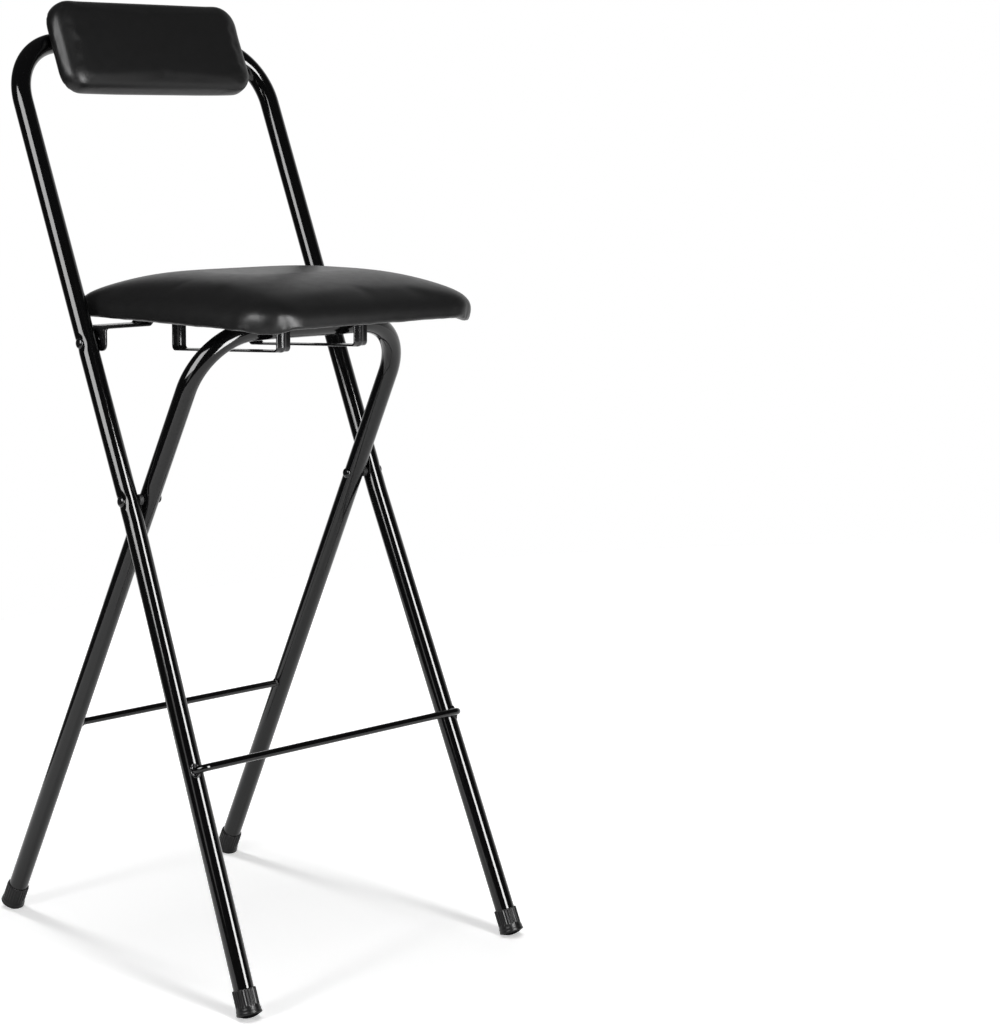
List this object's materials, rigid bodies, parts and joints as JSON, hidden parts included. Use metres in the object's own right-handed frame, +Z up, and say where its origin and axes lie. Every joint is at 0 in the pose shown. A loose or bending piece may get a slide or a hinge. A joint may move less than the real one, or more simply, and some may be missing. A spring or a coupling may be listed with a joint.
{
  "type": "folding bar stool",
  "caption": "Tall folding bar stool: crossing round-tube frames, padded leatherette seat and low padded backrest, footrest rod and rear stretcher.",
  "frame": {"origin": "on the floor, under the middle of the stool's bounding box", "axes": "+Z up, the sitter faces -Y, +X to the right as seen from in front"},
  "size_m": [0.4216, 0.4978, 1.0534],
  "materials": {
    "frame_paint": "gloss black powder coat",
    "bracket_paint": "gloss black powder coat on pressed steel",
    "cover": "satin black leatherette over foam",
    "board": "thin board, black underside",
    "foot_plastic": "semi-matt black moulded cap",
    "spacer_plastic": "black sleeve",
    "rivet_steel": "dark glossy rivet",
    "bright_steel": "bright zinc plate"
  },
  "bodies": {
    "back_frame": {"back_frame_tube": "frame_paint", "footrest_rod": "frame_paint", "front_foot_left": "foot_plastic", "scissor_rivet_left": "rivet_steel", "scissor_spacer_left": "spacer_plastic", "seat_rivet_left": "rivet_steel", "seat_washer_left": "rivet_steel", "front_foot_right": "foot_plastic", "scissor_rivet_right": "rivet_steel", "scissor_spacer_right": "spacer_plastic", "seat_rivet_right": "rivet_steel", "seat_washer_right": "rivet_steel", "backrest_board": "board", "backrest_pad": "cover", "backrest_tab": "frame_paint", "backrest_tab_screw": "bright_steel", "backrest_bolt_left": "bright_steel", "backrest_nut_left": "bright_steel", "backrest_bolt_right": "bright_steel", "backrest_nut_right": "bright_steel"},
    "leg_frame": {"leg_frame_tube": "frame_paint", "rear_stretcher_rod": "frame_paint", "rear_foot_left": "foot_plastic", "rear_foot_right": "foot_plastic"},
    "seat": {"seat_board": "board", "seat_cushion": "cover", "seat_hinge_bracket_left": "bracket_paint", "seat_guide_left": "bracket_paint", "bracket_screw_rear_left": "bright_steel", "bracket_screw_front_left": "bright_steel", "guide_screw_rear_left": "bright_steel", "guide_screw_front_left": "bright_steel", "seat_hinge_bracket_right": "bracket_paint", "seat_guide_right": "bracket_paint", "bracket_screw_rear_right": "bright_steel", "bracket_screw_front_right": "bright_steel", "guide_screw_rear_right": "bright_steel", "guide_screw_front_right": "bright_steel"}
  },
  "joints": [
    {"name": "leg_fold", "type": "hinge", "parent": "back_frame", "child": "leg_frame", "pos_m": [0, -0.01809, 0.5173], "axis": [-1, 0, 0], "range_deg": [0, 49.4]},
    {"name": "seat_fold", "type": "hinge", "parent": "back_frame", "child": "seat", "pos_m": [0, 0.0523, 0.68297], "axis": [-1, 0, 0], "range_deg": [0, 113]}
  ],
  "couplings": [
    {"joint": "seat_fold", "follows": "leg_fold", "ratio": 2.286}
  ]
}
